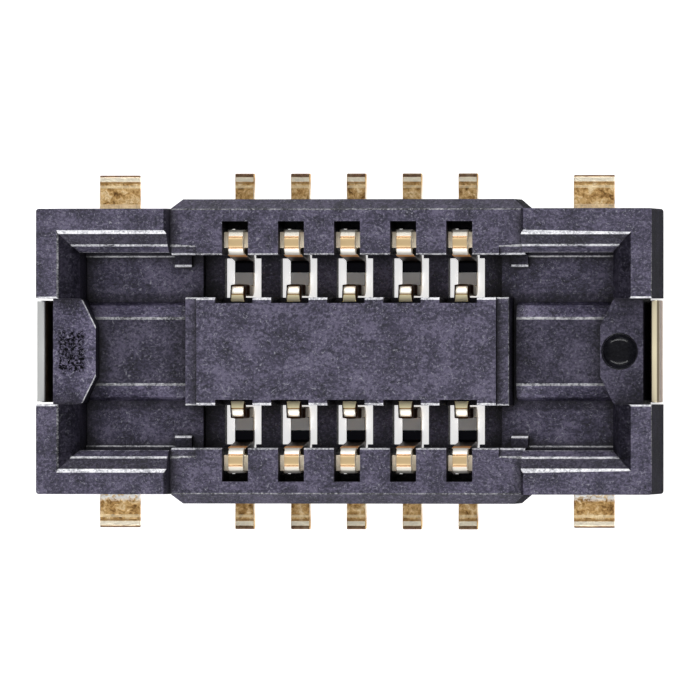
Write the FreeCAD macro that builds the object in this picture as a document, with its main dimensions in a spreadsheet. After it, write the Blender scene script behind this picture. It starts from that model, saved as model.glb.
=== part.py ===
import FreeCAD, Part
import math
import os
import Sketcher

# Fine-pitch board to board connector, receptacle half, soldered flat on a circuit board.
# Lengths are millimetres. X runs along the contact rows, Y across them, Z up from the board.
# The origin is the middle of the connector's footprint, on the board's surface.

SIZES = [
    # contact rows
    ("contact_pitch", 0.40, "from one contact to the next along a row"),
    ("contacts_per_row", 5, "contacts in each of the two rows"),
    # housing, across the rows, from the middle outwards
    ("island_half_width", 0.382, "middle of the connector to the side of the central island"),
    ("groove_width", 0.301, "clear groove between the island and a row wall"),
    ("crest_setback", 0.0885, "inner face of a row wall to the middle of the contact's fold"),
    ("slot_relief", 0.059, "room behind the contact's outer leg at the top of its slot"),
    ("leg_clearance", 0.007, "room behind the outer leg where the slot goes right through"),
    ("wall_back", 0.085, "plastic behind a slot, at the top of a row wall"),
    ("shoulder_width", 0.071, "sloping shoulder outside the top of a row wall"),
    ("shoulder_drop", 0.080, "height lost over that shoulder"),
    ("pocket_half_width", 0.700, "middle of the connector to the side of an end pocket"),
    ("lead_in_run", 0.142, "width of the sloping lead-in around an end pocket"),
    ("lead_in_depth", 0.145, "height of that lead-in"),
    ("lead_in_break_run", 0.094, "width of the lead-in's upper, gentler slope"),
    ("lead_in_break_depth", 0.066, "height of that upper slope"),
    ("side_rim_width", 0.168, "flat rim between the lead-in and the outside, along the sides"),
    # housing, along the rows, from the last contact outwards
    ("island_margin", 0.268, "middle of the last contact to the end of the island's top"),
    ("island_step", 0.086, "length of the lower step at each end of the island"),
    ("wall_margin", 0.462, "middle of the last contact to the end of a row wall"),
    ("wall_corner", 0.080, "chamfer on the outer corners of the row walls"),
    ("pocket_length", 0.640, "end of a row wall to the far side of an end pocket"),
    ("end_rim_width", 0.149, "flat rim between the lead-in and the outside, at the ends"),
    # housing, heights above the board
    ("standoff", 0.030, "gap between the board and the underside of the housing"),
    ("groove_floor", 0.140, "floor of the grooves beside the island"),
    ("pocket_floor", 0.260, "floor of the end pockets"),
    ("island_height", 0.620, "top of the island"),
    ("island_step_drop", 0.060, "drop from the island's top to its end steps"),
    ("row_wall_height", 0.560, "top of the row walls"),
    ("body_height", 0.770, "top of the end blocks, the highest part"),
    ("boss_height", 0.540, "top of the boss inside each end wall"),
    ("plateau_rise", 0.100, "height of the plateau between boss and island over the pocket floor"),
    ("slot_floor", 0.200, "floor of the slot's relief behind a contact"),
    # housing, smaller forms
    ("slot_width", 0.186, "width of a contact's slot in the row wall"),
    ("window_width", 0.260, "width of the floor window under a contact's spring"),
    ("notch_width", 0.268, "width of the notch in the island's side at a contact's tip"),
    ("notch_depth", 0.040, "depth of that notch into the island"),
    ("notch_floor", 0.200, "floor of that notch, over the board"),
    ("window_ledge", 0.023, "groove floor left between a window and the row wall"),
    ("plateau_top_half", 0.235, "half width of the plateau at its top"),
    ("plateau_base_half", 0.350, "half width of the plateau at the pocket floor"),
    ("plateau_gap", 0.028, "gap between the plateau and the island's end"),
    ("plateau_foot_run", 0.025, "width of the steep foot of the plateau's sides"),
    ("plateau_foot_rise", 0.060, "height of that steep foot"),
    ("side_ledge_width", 0.033, "narrow ledge along the foot of a pocket's sides"),
    ("side_ledge_rise", 0.050, "height of that ledge over the pocket floor"),
    ("wall_end_chamfer", 0.065, "chamfer on the groove side of a row wall near its ends"),
    ("wall_end_chamfer_length", 0.180, "length of that chamfer from the wall's end"),
    ("foot_ledge_width", 0.085, "little ledge at the foot of each row wall's end, across the rows"),
    ("foot_ledge_length", 0.120, "length of that ledge along the rows"),
    ("foot_ledge_rise", 0.070, "height of that ledge over the pocket floor"),
    ("boss_half_width", 0.365, "half width of the boss where it meets the end wall"),
    ("boss_flat_half", 0.178, "half width of the boss's flat nose"),
    ("boss_length", 0.305, "boss, from its nose to the channel of the metal plate"),
    ("boss_shoulder", 0.093, "how far the nose stands in front of the boss's shoulders"),
    ("end_cut_half", 0.3746, "half width of the cut through each end wall"),
    ("dimple_radius", 0.121, "radius of the round dimple in one boss"),
    ("dimple_depth", 0.100, "depth of that dimple"),
    ("dimple_setback", 0.138, "nose of the boss to the middle of the dimple"),
    ("corner_round", 0.020, "radius on the upright outer corners of the end blocks"),
    # contacts
    ("strip_thickness", 0.070, "thickness of the contact strip"),
    ("strip_width", 0.135, "width of the contact strip"),
    ("crest_width", 0.110, "width of the contact at its fold"),
    ("tip_width", 0.110, "width of the contact's tip"),
    ("tip_nose_width", 0.066, "width of the flat at the front of the tip"),
    ("tip_nose_length", 0.034, "length over which the tip narrows to its front"),
    ("press_clearance", 0.002, "gap between a contact's shoulders and the sides of its slot"),
    ("shoulder_top", 0.480, "top of the contact's press-fit shoulders"),
    ("shoulder_bottom", 0.150, "bottom of those shoulders on the outer leg"),
    ("shoulder_setback", 0.016, "back of the outer leg to the back of its shoulders"),
    ("shoulder_length", 0.113, "length of the shoulders' top, across the fold"),
    ("fold_shoulder_height", 0.020, "height of the part of the shoulders that bridges the fold"),
    ("fold_gap", 0.043, "gap between the two legs under the fold"),
    ("crest_height", 0.540, "top of the fold"),
    ("tail_reach", 0.186, "how far a solder tail stands out past the row wall"),
    ("tail_bend", 0.020, "inner radius of the bend from tail to outer leg"),
    ("tail_clearance", 0.010, "room beside a tail under the row wall"),
    ("heel_offset", 0.238, "island's side to the middle of the bend under the inner leg"),
    ("toe_offset", 0.100, "island's side to the middle of the bend under the spring arm"),
    ("trough_bend", 0.020, "inner radius of these two lower bends"),
    ("trough_clearance", 0.015, "gap between the strip's lowest run and the board"),
    ("bump_reach", 0.095, "how far the contact's bump stands out from the island's side"),
    ("bump_height", 0.440, "top of the bump"),
    ("bump_bend", 0.005, "inner radius of the bump"),
    ("tip_inset", 0.008, "how far the middle of the strip's end lies inside the island's face"),
    # hold-downs
    ("plate_thickness", 0.056, "thickness of a hold-down's sheet"),
    ("tab_width", 0.286, "width of a hold-down's solder tabs"),
    ("tab_inset", 0.495, "outer end of the housing to the middle of the tabs"),
    ("tab_reach", 0.242, "how far a solder tab stands out past the end block"),
    ("tab_tip_bevel", 0.020, "bevel on the top edge of a tab's end"),
    ("base_clearance", 0.010, "room around a hold-down's base in the housing's underside"),
    ("upright_half_width", 0.361, "half width of a hold-down's upright plate"),
    ("upright_height", 0.540, "top of the upright plate"),
    ("upright_clearance", 0.002, "back of the boss to the start of the upright plate's bend"),
    ("upright_lean", 0.028, "how far the plate's top leans out past its foot"),
    ("upright_bend", 0.030, "inner radius of the bend at the plate's foot"),
]

doc = FreeCAD.newDocument("board_to_board_connector")
sheet = doc.addObject("Spreadsheet::Sheet", "sizes")
for row, (alias, value, meaning) in enumerate(SIZES, start=1):
    sheet.set(f"A{row}", alias.replace("_", " "))
    sheet.set(f"B{row}", repr(value))
    sheet.setAlias(f"B{row}", alias)
    sheet.set(f"C{row}", meaning)
doc.recompute()

# Places that several pieces share, worked out from the sheet's cells.
LAST_CONTACT = "(sizes.contact_pitch * (sizes.contacts_per_row - 1) / 2)"
ISLAND_SIDE = "sizes.island_half_width"
WALL_FACE = f"({ISLAND_SIDE} + sizes.groove_width)"
FOLD_MIDDLE = f"({WALL_FACE} + sizes.crest_setback)"
FOLD_RADIUS = "(sizes.strip_thickness + sizes.fold_gap / 2)"
LEG_BACK = f"({FOLD_MIDDLE} + {FOLD_RADIUS})"
SLOT_BACK = f"({LEG_BACK} + sizes.slot_relief)"
WALL_TOP_EDGE = f"({SLOT_BACK} + sizes.wall_back)"
WALL_OUTSIDE = f"({WALL_TOP_EDGE} + sizes.shoulder_width)"
TAIL_TIP = f"({WALL_OUTSIDE} + sizes.tail_reach)"
BLOCK_SIDE = "(sizes.pocket_half_width + sizes.lead_in_run + sizes.side_rim_width)"
ISLAND_END = f"({LAST_CONTACT} + sizes.island_margin)"
WALL_END = f"({LAST_CONTACT} + sizes.wall_margin)"
POCKET_END = f"({WALL_END} + sizes.pocket_length)"
RIM_INNER = f"({POCKET_END} + sizes.lead_in_run)"
BLOCK_END = f"({RIM_INNER} + sizes.end_rim_width)"
UPRIGHT_TOP_FACE = f"({BLOCK_END} + sizes.upright_lean)"
UPRIGHT_FOOT = f"({BLOCK_END} - sizes.plate_thickness - sizes.upright_bend)"
BOSS_BACK = f"({UPRIGHT_FOOT} - sizes.upright_clearance)"
BOSS_NOSE = f"({BOSS_BACK} - sizes.boss_length)"
TAB_MIDDLE = f"({BLOCK_END} - sizes.tab_inset)"
TAB_TIP = f"({BLOCK_SIDE} + sizes.tab_reach)"

# A cutting sketch runs this far past the face that it cuts, so that no skin is left.
OVERRUN = "0.05"


def value(expression):
    """The number that an expression over the sheet stands for."""
    return float(sheet.evalExpression(expression))


def bind(feature, path, expression):
    """Set a property from the sheet, and keep it bound there."""
    feature.setExpression(path, expression)


def origin_feature(body, role):
    """One of a body's own origin planes or axes, by its role."""
    for feature in body.Origin.OriginFeatures:
        if feature.Role == role:
            return feature
    raise ValueError(role)


def sketch_on(body, role, name, offset=None):
    """A sketch on one of the body's origin planes, raised off it by an expression."""
    sketch = body.newObject("Sketcher::SketchObject", name)
    sketch.AttachmentSupport = (origin_feature(body, role), [""])
    sketch.MapMode = "FlatFace"
    if offset is not None:
        bind(sketch, "AttachmentOffset.Base.z", offset)
    return sketch


def hold_point(sketch, geometry, vertex, across, up):
    """Tie one point of a sketch to two expressions, measured from the sketch's origin."""
    for kind, expression in (("DistanceX", across), ("DistanceY", up)):
        if expression is None:
            continue
        rule = Sketcher.Constraint(kind, -1, 1, geometry, vertex, value(expression))
        index = sketch.addConstraint(rule)
        sketch.renameConstraint(index, f"{kind.lower()}_{index}")
        bind(sketch, f".Constraints.{kind.lower()}_{index}", expression)


def outline(sketch, corners):
    """A closed outline of straight edges through corners given as pairs of expressions."""
    points = [FreeCAD.Vector(value(across), value(up), 0) for across, up in corners]
    first = sketch.GeometryCount
    for start, end in zip(points, points[1:] + points[:1]):
        sketch.addGeometry(Part.LineSegment(start, end))
    for number, (across, up) in enumerate(corners):
        line = first + number
        following = first + (number + 1) % len(corners)
        sketch.addConstraint(Sketcher.Constraint("Coincident", line, 2, following, 1))
        hold_point(sketch, line, 1, across, up)


def rectangle(sketch, left, right, low, high):
    """A closed rectangle between four expressions."""
    outline(sketch, [(left, low), (right, low), (right, high), (left, high)])


def pad(body, sketch, name, length, symmetric=False):
    """Material from a sketch, one way along its normal or evenly to both sides."""
    feature = body.newObject("PartDesign::Pad", name)
    feature.Profile = sketch
    feature.SideType = "Symmetric" if symmetric else "One side"
    bind(feature, "Length", length)
    return feature


def pocket(body, sketch, name, length=None, symmetric=False, upwards=False):
    """A cut from a sketch: down, up, evenly to both sides, or right through below."""
    feature = body.newObject("PartDesign::Pocket", name)
    feature.Profile = sketch
    feature.Reversed = upwards
    if length is None:
        feature.Type = "ThroughAll"
    else:
        feature.SideType = "Symmetric" if symmetric else "One side"
        bind(feature, "Length", length)
    return feature


def mirror_ends(body, features, name):
    """Repeat features at the connector's other end."""
    feature = body.newObject("PartDesign::Mirrored", name)
    feature.Originals = features
    feature.MirrorPlane = (origin_feature(body, "YZ_Plane"), [""])
    body.Tip = feature
    return feature


def repeat_along_rows(body, features, name):
    """Repeat features, made at the first contact, at every contact of the rows."""
    feature = body.newObject("PartDesign::LinearPattern", name)
    feature.Originals = features
    feature.Direction = (origin_feature(body, "X_Axis"), [""])
    feature.Mode = "Spacing"
    bind(feature, "Offset", "sizes.contact_pitch")
    bind(feature, "Occurrences", "sizes.contacts_per_row")
    body.Tip = feature
    return feature


def strip_path(sketch, start, bends, end):
    """The middle line of a bent strip: straight runs that are tangent to round bends.

    start and end are pairs of expressions. Each bend is its centre, its radius and its
    turn, +1 to the left and -1 to the right. With an end of (x, None) the last bend runs on
    to that x and the strip stops there, on the far side of the bend's top.
    """
    rounds = [(start, None, 0)] + list(bends)
    if end[1] is not None:
        rounds.append((end, None, 0))
    middles = [FreeCAD.Vector(value(at[0]), value(at[1]), 0) for at, _, _ in rounds]
    signed = [turn * (value(radius) if turn else 0.0) for _, radius, turn in rounds]

    headings = []
    for number in range(len(rounds) - 1):
        step = middles[number + 1] - middles[number]
        offset = signed[number + 1] - signed[number]
        straight = math.sqrt(step.x ** 2 + step.y ** 2 - offset ** 2)
        headings.append(math.atan2(step.y, step.x) - math.atan2(offset, straight))

    def on_round(number, heading):
        side = FreeCAD.Vector(-math.sin(heading), math.cos(heading), 0)
        return middles[number] - side * signed[number]

    previous = None
    for number in range(len(rounds)):
        at, radius, turn = rounds[number]
        if turn:
            angle_in = headings[number - 1] - turn * math.pi / 2
            if number < len(headings):
                angle_out = headings[number] - turn * math.pi / 2
            else:
                across = value(end[0]) - middles[number].x
                angle_out = turn * math.acos(across / value(radius))
            circle = Part.Circle(middles[number], FreeCAD.Vector(0, 0, 1), value(radius))
            first, second = (angle_in, angle_out) if turn > 0 else (angle_out, angle_in)
            while second < first:
                second += 2 * math.pi
            arc = sketch.addGeometry(Part.ArcOfCircle(circle, first, second))
            enters, leaves = (1, 2) if turn > 0 else (2, 1)
            sketch.addConstraint(Sketcher.Constraint("Tangent", previous, 2, arc, enters))
            hold_point(sketch, arc, 3, at[0], at[1])
            rule = Sketcher.Constraint("Radius", arc, value(radius))
            index = sketch.addConstraint(rule)
            sketch.renameConstraint(index, f"bend_{index}")
            bind(sketch, f".Constraints.bend_{index}", radius)
            previous = arc
            if number == len(headings):
                hold_point(sketch, arc, leaves, end[0], None)
        if number < len(headings):
            heading = headings[number]
            run = Part.LineSegment(on_round(number, heading), on_round(number + 1, heading))
            line = sketch.addGeometry(run)
            if turn:
                sketch.addConstraint(Sketcher.Constraint("Tangent", previous, leaves, line, 1))
            else:
                hold_point(sketch, line, 1, at[0], at[1])
            previous = line
    if end[1] is not None:
        hold_point(sketch, previous, 2, end[0], end[1])


def bent_strip(body, name, path, section):
    """A strip of one section swept along its middle line."""
    feature = body.newObject("PartDesign::AdditivePipe", name)
    feature.Profile = section
    feature.Spine = path
    feature.Transition = "Transformed"
    return feature


def edges_at(feature, test):
    """The names of a feature's edges whose two ends both pass a test."""
    return [
        f"Edge{number}"
        for number, edge in enumerate(feature.Shape.Edges, start=1)
        if all(test(vertex.Point) for vertex in edge.Vertexes)
    ]


def make_housing():
    """The moulded insulator: end blocks, slotted row walls, island, pockets and bosses."""
    body = doc.addObject("PartDesign::Body", "housing")

    # The body up to the tops of the row walls: two end blocks joined by the wider row block.
    plan = sketch_on(body, "XY_Plane", "footprint", "sizes.standoff")
    side, wide = BLOCK_SIDE, WALL_OUTSIDE
    quarter = [
        (BLOCK_END, side),
        (WALL_END, side),
        (f"{WALL_END} - sizes.wall_corner", wide),
    ]
    corners = quarter
    corners = corners + [(f"-({x})", y) for x, y in reversed(quarter)]
    corners = corners + [(f"-({x})", f"-({y})") for x, y in quarter]
    corners = corners + [(x, f"-({y})") for x, y in reversed(quarter)]
    outline(plan, corners)
    pad(body, plan, "lower_body", "sizes.row_wall_height - sizes.standoff")

    # The end blocks stand a little higher than the row walls.
    plan = sketch_on(body, "XY_Plane", "end_block_plan", "sizes.row_wall_height")
    rectangle(plan, WALL_END, BLOCK_END, f"-{side}", side)
    top = pad(body, plan, "end_block_top", "sizes.body_height - sizes.row_wall_height")
    mirror_ends(body, [top], "end_block_tops")

    # A sloping shoulder runs outside the top of each row wall.
    section = sketch_on(body, "YZ_Plane", "shoulder_section")
    for sign in ("", "-"):
        outline(section, [
            (f"{sign}{WALL_TOP_EDGE}", "sizes.row_wall_height"),
            (f"{sign}{WALL_OUTSIDE}", "sizes.row_wall_height - sizes.shoulder_drop"),
            (f"{sign}({WALL_OUTSIDE} + {OVERRUN})", "sizes.row_wall_height - sizes.shoulder_drop"),
            (f"{sign}({WALL_OUTSIDE} + {OVERRUN})", "sizes.row_wall_height"),
        ])
    pocket(body, section, "shoulders", f"2 * {WALL_END}", symmetric=True)

    # The cavity goes down to the pocket floor.
    plan = sketch_on(body, "XY_Plane", "cavity_plan", "sizes.body_height")
    inner = [
        (POCKET_END, "sizes.pocket_half_width"),
        (WALL_END, "sizes.pocket_half_width"),
        (WALL_END, WALL_FACE),
    ]
    corners = inner
    corners = corners + [(f"-({x})", y) for x, y in reversed(inner)]
    corners = corners + [(f"-({x})", f"-({y})") for x, y in inner]
    corners = corners + [(x, f"-({y})") for x, y in reversed(inner)]
    outline(plan, corners)
    pocket(body, plan, "cavity", "sizes.body_height - sizes.pocket_floor")

    # The island stands in it, a little higher than the row walls, with a step at each end.
    island_foot = f"({ISLAND_END} + sizes.island_step)"
    plan = sketch_on(body, "XY_Plane", "island_plan", "sizes.pocket_floor")
    rectangle(plan, f"-{island_foot}", island_foot, f"-{ISLAND_SIDE}", ISLAND_SIDE)
    pad(body, plan, "island", "sizes.island_height - sizes.pocket_floor")
    plan = sketch_on(body, "XY_Plane", "island_step_plan", "sizes.island_height")
    rectangle(plan, ISLAND_END, island_foot, f"-{ISLAND_SIDE}", ISLAND_SIDE)
    step = pocket(body, plan, "island_step", "sizes.island_step_drop")
    mirror_ends(body, [step], "island_steps")

    # The grooves beside the island are deeper than the end pockets.
    plan = sketch_on(body, "XY_Plane", "groove_plan", "sizes.pocket_floor")
    for sign in ("", "-"):
        rectangle(plan, f"-{ISLAND_END}", ISLAND_END, f"{sign}{ISLAND_SIDE}", f"{sign}{WALL_FACE}")
    pocket(body, plan, "grooves", "sizes.pocket_floor - sizes.groove_floor")

    # Each row wall has a chamfer on its groove side near its ends, and a ledge at its foot.
    section = sketch_on(body, "YZ_Plane", "wall_end_section",
                        f"{WALL_END} - sizes.wall_end_chamfer_length")
    for sign in ("", "-"):
        outline(section, [
            (f"{sign}{WALL_FACE}", "sizes.row_wall_height - sizes.wall_end_chamfer"),
            (f"{sign}({WALL_FACE} + sizes.wall_end_chamfer)", "sizes.row_wall_height"),
            (f"{sign}{WALL_FACE}", "sizes.row_wall_height"),
        ])
    wall_chamfer = pocket(body, section, "wall_end_chamfer", "sizes.wall_end_chamfer_length",
                          upwards=True)
    mirror_ends(body, [wall_chamfer], "wall_end_chamfers")
    plan = sketch_on(body, "XY_Plane", "foot_ledge_plan", "sizes.pocket_floor")
    for sign in ("", "-"):
        rectangle(plan, f"{WALL_END} - sizes.foot_ledge_length", WALL_END,
                  f"{sign}({WALL_FACE} - sizes.foot_ledge_width)",
                  f"{sign}({WALL_FACE} + sizes.foot_ledge_width / 2)")
    ledge = pad(body, plan, "foot_ledge", "sizes.foot_ledge_rise")
    mirror_ends(body, [ledge], "foot_ledges")

    # A lead-in of two slopes, the lower one steeper, guides the mating half into each pocket.
    levels = []
    for name, run, depth in (("mouth", "0", "0"),
                             ("break", "sizes.lead_in_break_run", "sizes.lead_in_break_depth"),
                             ("throat", "sizes.lead_in_run", "sizes.lead_in_depth")):
        plan = sketch_on(body, "XY_Plane", f"lead_in_{name}", f"sizes.body_height - {depth}")
        reach = f"(sizes.pocket_half_width + sizes.lead_in_run - {run})"
        rectangle(plan, WALL_END, f"{RIM_INNER} - {run}", f"-{reach}", reach)
        levels.append(plan)
    lead_in = body.newObject("PartDesign::SubtractiveLoft", "lead_in")
    lead_in.Profile = levels[0]
    lead_in.Sections = levels[1:]
    lead_in.Ruled = True
    mirror_ends(body, [lead_in], "lead_ins")

    # A narrow ledge runs along the foot of each pocket's two sides.
    plan = sketch_on(body, "XY_Plane", "side_ledge_plan", "sizes.pocket_floor")
    for sign in ("", "-"):
        rectangle(plan, WALL_END, POCKET_END,
                  f"{sign}(sizes.pocket_half_width - sizes.side_ledge_width)",
                  f"{sign}(sizes.pocket_half_width + sizes.side_ledge_width)")
    side_ledge = pad(body, plan, "side_ledge", "sizes.side_ledge_rise")
    mirror_ends(body, [side_ledge], "side_ledges")

    # A plateau, whose sides slope gently over a steep foot, leads from near the island to the
    # boss on each end wall.
    plateau_start = f"({island_foot} + sizes.plateau_gap)"
    section = sketch_on(body, "YZ_Plane", "plateau_section", plateau_start)
    foot = "(sizes.plateau_base_half - sizes.plateau_foot_run)"
    outline(section, [
        ("-sizes.plateau_base_half", "sizes.pocket_floor"),
        ("sizes.plateau_base_half", "sizes.pocket_floor"),
        (foot, "sizes.pocket_floor + sizes.plateau_foot_rise"),
        ("sizes.plateau_top_half", "sizes.pocket_floor + sizes.plateau_rise"),
        ("-sizes.plateau_top_half", "sizes.pocket_floor + sizes.plateau_rise"),
        (f"-{foot}", "sizes.pocket_floor + sizes.plateau_foot_rise"),
    ])
    plateau = pad(body, section, "plateau", f"{POCKET_END} - {plateau_start}")
    plan = sketch_on(body, "XY_Plane", "boss_plan", "sizes.pocket_floor")
    shoulder = f"({BOSS_NOSE} + sizes.boss_shoulder)"
    outline(plan, [
        (BOSS_BACK, "-sizes.boss_half_width"),
        (BOSS_BACK, "sizes.boss_half_width"),
        (shoulder, "sizes.boss_half_width"),
        (BOSS_NOSE, "sizes.boss_flat_half"),
        (BOSS_NOSE, "-sizes.boss_flat_half"),
        (shoulder, "-sizes.boss_half_width"),
    ])
    boss = pad(body, plan, "boss", "sizes.boss_height - sizes.pocket_floor")
    mirror_ends(body, [plateau, boss], "bosses")

    # Each end wall is cut away over the boss, and open behind it for the metal plate.
    plan = sketch_on(body, "XY_Plane", "end_cut_plan", "sizes.body_height")
    rectangle(plan, POCKET_END, f"{BLOCK_END} + {OVERRUN}",
              "-sizes.end_cut_half", "sizes.end_cut_half")
    end_cut = pocket(body, plan, "end_cut", "sizes.body_height - sizes.boss_height")
    plan = sketch_on(body, "XY_Plane", "plate_channel_plan", "sizes.boss_height")
    rectangle(plan, BOSS_BACK, f"{BLOCK_END} + {OVERRUN}",
              "-sizes.end_cut_half", "sizes.end_cut_half")
    channel = pocket(body, plan, "plate_channel", "sizes.boss_height")
    mirror_ends(body, [end_cut, channel], "end_cuts")

    # The underside is recessed for each hold-down's base and its two solder tabs.
    plan = sketch_on(body, "XY_Plane", "base_recess_plan")
    half_tab = "(sizes.tab_width / 2 + sizes.base_clearance)"
    rectangle(plan, f"{TAB_MIDDLE} - {half_tab}", f"{TAB_MIDDLE} + {half_tab}",
              f"-({BLOCK_SIDE} + {OVERRUN})", f"{BLOCK_SIDE} + {OVERRUN}")
    tab_recess = pocket(body, plan, "tab_recess", "sizes.plate_thickness", upwards=True)
    plan = sketch_on(body, "XY_Plane", "tongue_recess_plan")
    rectangle(plan, TAB_MIDDLE, f"{BLOCK_END} + {OVERRUN}",
              "-sizes.end_cut_half", "sizes.end_cut_half")
    tongue_recess = pocket(body, plan, "tongue_recess", "sizes.plate_thickness", upwards=True)
    mirror_ends(body, [tab_recess, tongue_recess], "base_recesses")

    # Each contact has a slot in the row wall, a window in the groove floor, a blind notch in
    # the island's side, and a notch under the wall where its tail comes out.
    plan = sketch_on(body, "XY_Plane", "relief_plan", "sizes.row_wall_height")
    through = sketch_on(body, "XY_Plane", "through_slot_plan", "sizes.row_wall_height")
    window = sketch_on(body, "XY_Plane", "window_plan", "sizes.row_wall_height")
    notch = sketch_on(body, "XY_Plane", "island_notch_plan", "sizes.island_height")
    tail = sketch_on(body, "XY_Plane", "tail_notch_plan")
    half_slot = "sizes.slot_width / 2"
    half_window = "sizes.window_width / 2"
    half_notch = "sizes.notch_width / 2"
    half_tail = "(sizes.strip_width / 2 + sizes.tail_clearance)"
    leg_back = f"({LEG_BACK} + sizes.leg_clearance)"
    for sign in ("", "-"):
        rectangle(plan, f"-{LAST_CONTACT} - {half_slot}", f"-{LAST_CONTACT} + {half_slot}",
                  f"{sign}{FOLD_MIDDLE}", f"{sign}{SLOT_BACK}")
        rectangle(through, f"-{LAST_CONTACT} - {half_slot}", f"-{LAST_CONTACT} + {half_slot}",
                  f"{sign}({WALL_FACE} - sizes.window_ledge)", f"{sign}{leg_back}")
        rectangle(window, f"-{LAST_CONTACT} - {half_window}", f"-{LAST_CONTACT} + {half_window}",
                  f"{sign}{ISLAND_SIDE}", f"{sign}({WALL_FACE} - sizes.window_ledge)")
        rectangle(notch, f"-{LAST_CONTACT} - {half_notch}", f"-{LAST_CONTACT} + {half_notch}",
                  f"{sign}({ISLAND_SIDE} - sizes.notch_depth)", f"{sign}{ISLAND_SIDE}")
        rectangle(tail, f"-{LAST_CONTACT} - {half_tail}", f"-{LAST_CONTACT} + {half_tail}",
                  f"{sign}{FOLD_MIDDLE}", f"{sign}({WALL_OUTSIDE} + {OVERRUN})")
    relief = pocket(body, plan, "slot_relief_cut", "sizes.row_wall_height - sizes.slot_floor")
    slot = pocket(body, through, "slot")
    window_cut = pocket(body, window, "window")
    notch_cut = pocket(body, notch, "island_notch", "sizes.island_height - sizes.notch_floor")
    tail_notch = pocket(body, tail, "tail_notch", "sizes.strip_thickness + sizes.tail_bend",
                        upwards=True)
    repeat_along_rows(body, [relief, slot, window_cut, notch_cut, tail_notch], "contact_places")

    # One boss has a round dimple in its top.
    plan = sketch_on(body, "XY_Plane", "dimple_plan", "sizes.boss_height")
    middle = f"{BOSS_NOSE} + sizes.dimple_setback"
    circle = Part.Circle(FreeCAD.Vector(value(middle), 0, 0), FreeCAD.Vector(0, 0, 1),
                         value("sizes.dimple_radius"))
    dimple = plan.addGeometry(circle)
    hold_point(plan, dimple, 3, middle, None)
    plan.addConstraint(Sketcher.Constraint("PointOnObject", dimple, 3, -1))
    index = plan.addConstraint(Sketcher.Constraint("Radius", dimple, value("sizes.dimple_radius")))
    plan.renameConstraint(index, "dimple_radius")
    bind(plan, ".Constraints.dimple_radius", "sizes.dimple_radius")
    dimple_cut = pocket(body, plan, "dimple", "sizes.dimple_depth")
    doc.recompute()

    # The upright outer corners of the end blocks are rounded.
    end, edge = value(BLOCK_END), value(BLOCK_SIDE)
    names = edges_at(dimple_cut, lambda point: abs(abs(point.x) - end) < 1e-6
                     and abs(abs(point.y) - edge) < 1e-6)
    rounds = body.newObject("PartDesign::Fillet", "corner_rounds")
    rounds.Base = (dimple_cut, names)
    bind(rounds, "Radius", "sizes.corner_round")
    return body


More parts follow.
